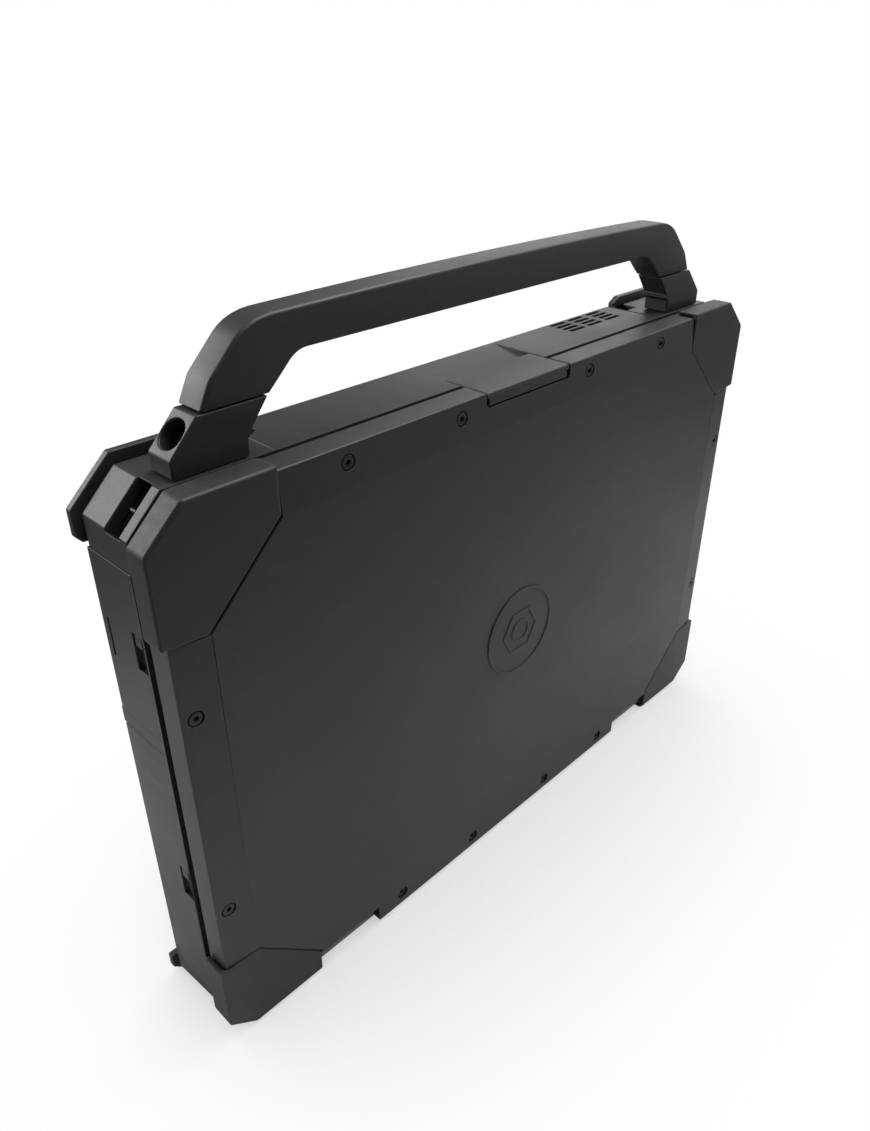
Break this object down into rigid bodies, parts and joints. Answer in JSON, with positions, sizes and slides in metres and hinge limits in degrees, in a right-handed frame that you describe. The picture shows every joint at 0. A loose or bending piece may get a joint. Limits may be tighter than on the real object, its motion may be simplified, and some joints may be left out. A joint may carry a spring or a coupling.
{
  "type": "rugged laptop computer",
  "caption": "Rugged clamshell laptop computer with a fixed carrying handle, corner bumpers, a front latch and a hinged display lid.",
  "frame": {"origin": "centre of the bounding box at its lowest face, the hinge edge that the closed computer stands on", "axes": "+X across the width towards the computer's own left side, +Y from the lid's face towards the base's feet, +Z from the hinge edge up to the carrying handle"},
  "size_m": [0.356, 0.05, 0.2921],
  "materials": {
    "black_shell": "fine-textured satin black powder paint on magnesium",
    "black_rubber": "matt moulded black elastomer",
    "dark_metal": "dark anodised",
    "steel": "plain zinc-plated steel",
    "screen_glass": "dark anti-glare touch glass",
    "circuit": "green solder-masked circuit board",
    "key_black": "matt black moulded plastic",
    "screw_black": "black oxide screw"
  },
  "bodies": {
    "base": {"hinge_bracket_left": "dark_metal", "front_cap_left": "black_shell", "rear_foot_left": "black_rubber", "handle_bracket_left": "black_shell", "handle_screw_left": "screw_black", "hinge_bracket_right": "dark_metal", "front_cap_right": "black_shell", "rear_foot_right": "black_rubber", "handle_bracket_right": "black_shell", "handle_screw_right": "screw_black", "base_housing": "black_shell", "base_deck": "black_shell", "bottom_cover": "black_shell", "dock_connector": "key_black", "handle_grip": "black_shell", "keyboard_frame": "key_black", "touchpad": "key_black", "port_block": "steel", "power_inlet": "steel", "motherboard": "circuit", "fan_housing": "dark_metal", "heat_sink": "dark_metal", "battery_pack": "key_black", "speaker": "dark_metal", "drive_caddy": "dark_metal"},
    "lid": {"lid_cover": "black_shell", "lid_chassis": "dark_metal", "display_panel": "dark_metal", "touch_glass": "screen_glass", "display_bezel": "key_black", "lid_gasket": "black_rubber", "camera_module": "screen_glass", "latch_pin": "steel", "front_bumper_left": "black_rubber", "front_bumper_right": "black_rubber", "rear_bumper_left": "black_rubber", "rear_bumper_right": "black_rubber", "hinge_pin_left": "steel", "hinge_pin_right": "steel", "lid_screw_1": "screw_black", "lid_screw_2": "screw_black", "lid_screw_3": "screw_black", "lid_screw_4": "screw_black"},
    "camera_shutter_body": {"camera_shutter": "key_black"},
    "lid_latch_body": {"lid_latch": "black_shell"},
    "key_escape_body": {"key_escape": "key_black"},
    "key_enter_body": {"key_enter": "key_black"},
    "key_space_body": {"key_space": "key_black"},
    "pad_button_left_body": {"pad_button_left": "key_black"},
    "pad_button_right_body": {"pad_button_right": "key_black"},
    "power_button_body": {"power_button": "dark_metal"},
    "drive_door_body": {"drive_door": "black_shell"},
    "drive_door_latch_body": {"drive_door_latch": "key_black"},
    "battery_door_body": {"battery_door": "black_shell"},
    "battery_door_latch_body": {"battery_door_latch": "key_black"},
    "port_door_body": {"port_door": "black_rubber"},
    "fan_impeller_body": {"fan_impeller": "key_black"}
  },
  "joints": [
    {"name": "lid_hinge", "type": "hinge", "parent": "base", "child": "lid", "pos_m": [0, -0.01675, 0.0065], "axis": [1, 0, 0], "range_deg": [0, 180]},
    {"name": "latch_lift", "type": "hinge", "parent": "lid", "child": "lid_latch_body", "pos_m": [0, -0.0185, 0.2418], "axis": [1, 0, 0], "range_deg": [0, 22], "stiffness_Nm_per_rad": 0.08},
    {"name": "camera_shutter_slide", "type": "slide", "parent": "lid", "child": "camera_shutter_body", "axis": [1, 0, 0], "range_m": [0, 0.0065]},
    {"name": "key_escape_press", "type": "slide", "parent": "base", "child": "key_escape_body", "axis": [0, 1, 0], "range_m": [0, 0.0018], "stiffness_N_per_m": 300},
    {"name": "key_enter_press", "type": "slide", "parent": "base", "child": "key_enter_body", "axis": [0, 1, 0], "range_m": [0, 0.0018], "stiffness_N_per_m": 300},
    {"name": "key_space_press", "type": "slide", "parent": "base", "child": "key_space_body", "axis": [0, 1, 0], "range_m": [0, 0.0018], "stiffness_N_per_m": 300},
    {"name": "pad_button_left_press", "type": "slide", "parent": "base", "child": "pad_button_left_body", "axis": [0, 1, 0], "range_m": [0, 0.0008], "stiffness_N_per_m": 600},
    {"name": "pad_button_right_press", "type": "slide", "parent": "base", "child": "pad_button_right_body", "axis": [0, 1, 0], "range_m": [0, 0.0008], "stiffness_N_per_m": 600},
    {"name": "power_button_press", "type": "slide", "parent": "base", "child": "power_button_body", "axis": [0, 1, 0], "range_m": [0, 0.0008], "stiffness_N_per_m": 600},
    {"name": "drive_door_swing", "type": "hinge", "parent": "base", "child": "drive_door_body", "pos_m": [-0.1725, 0.0192, 0.187], "axis": [0, 0, -1], "range_deg": [0, 95]},
    {"name": "drive_door_latch_slide", "type": "slide", "parent": "drive_door_body", "child": "drive_door_latch_body", "axis": [0, 0, -1], "range_m": [0, 0.006]},
    {"name": "battery_door_swing", "type": "hinge", "parent": "base", "child": "battery_door_body", "pos_m": [-0.1725, 0.0192, 0.08], "axis": [0, 0, -1], "range_deg": [0, 95]},
    {"name": "battery_door_latch_slide", "type": "slide", "parent": "battery_door_body", "child": "battery_door_latch_body", "axis": [0, 0, -1], "range_m": [0, 0.006]},
    {"name": "port_door_swing", "type": "hinge", "parent": "base", "child": "port_door_body", "pos_m": [0.1739, 0.0152, 0.141], "axis": [0, 0, 1], "range_deg": [0, 110]},
    {"name": "fan_spin", "type": "hinge", "parent": "base", "child": "fan_impeller_body", "pos_m": [0.118, 0.01, 0.066], "axis": [0, 1, 0], "continuous": true}
  ]
}
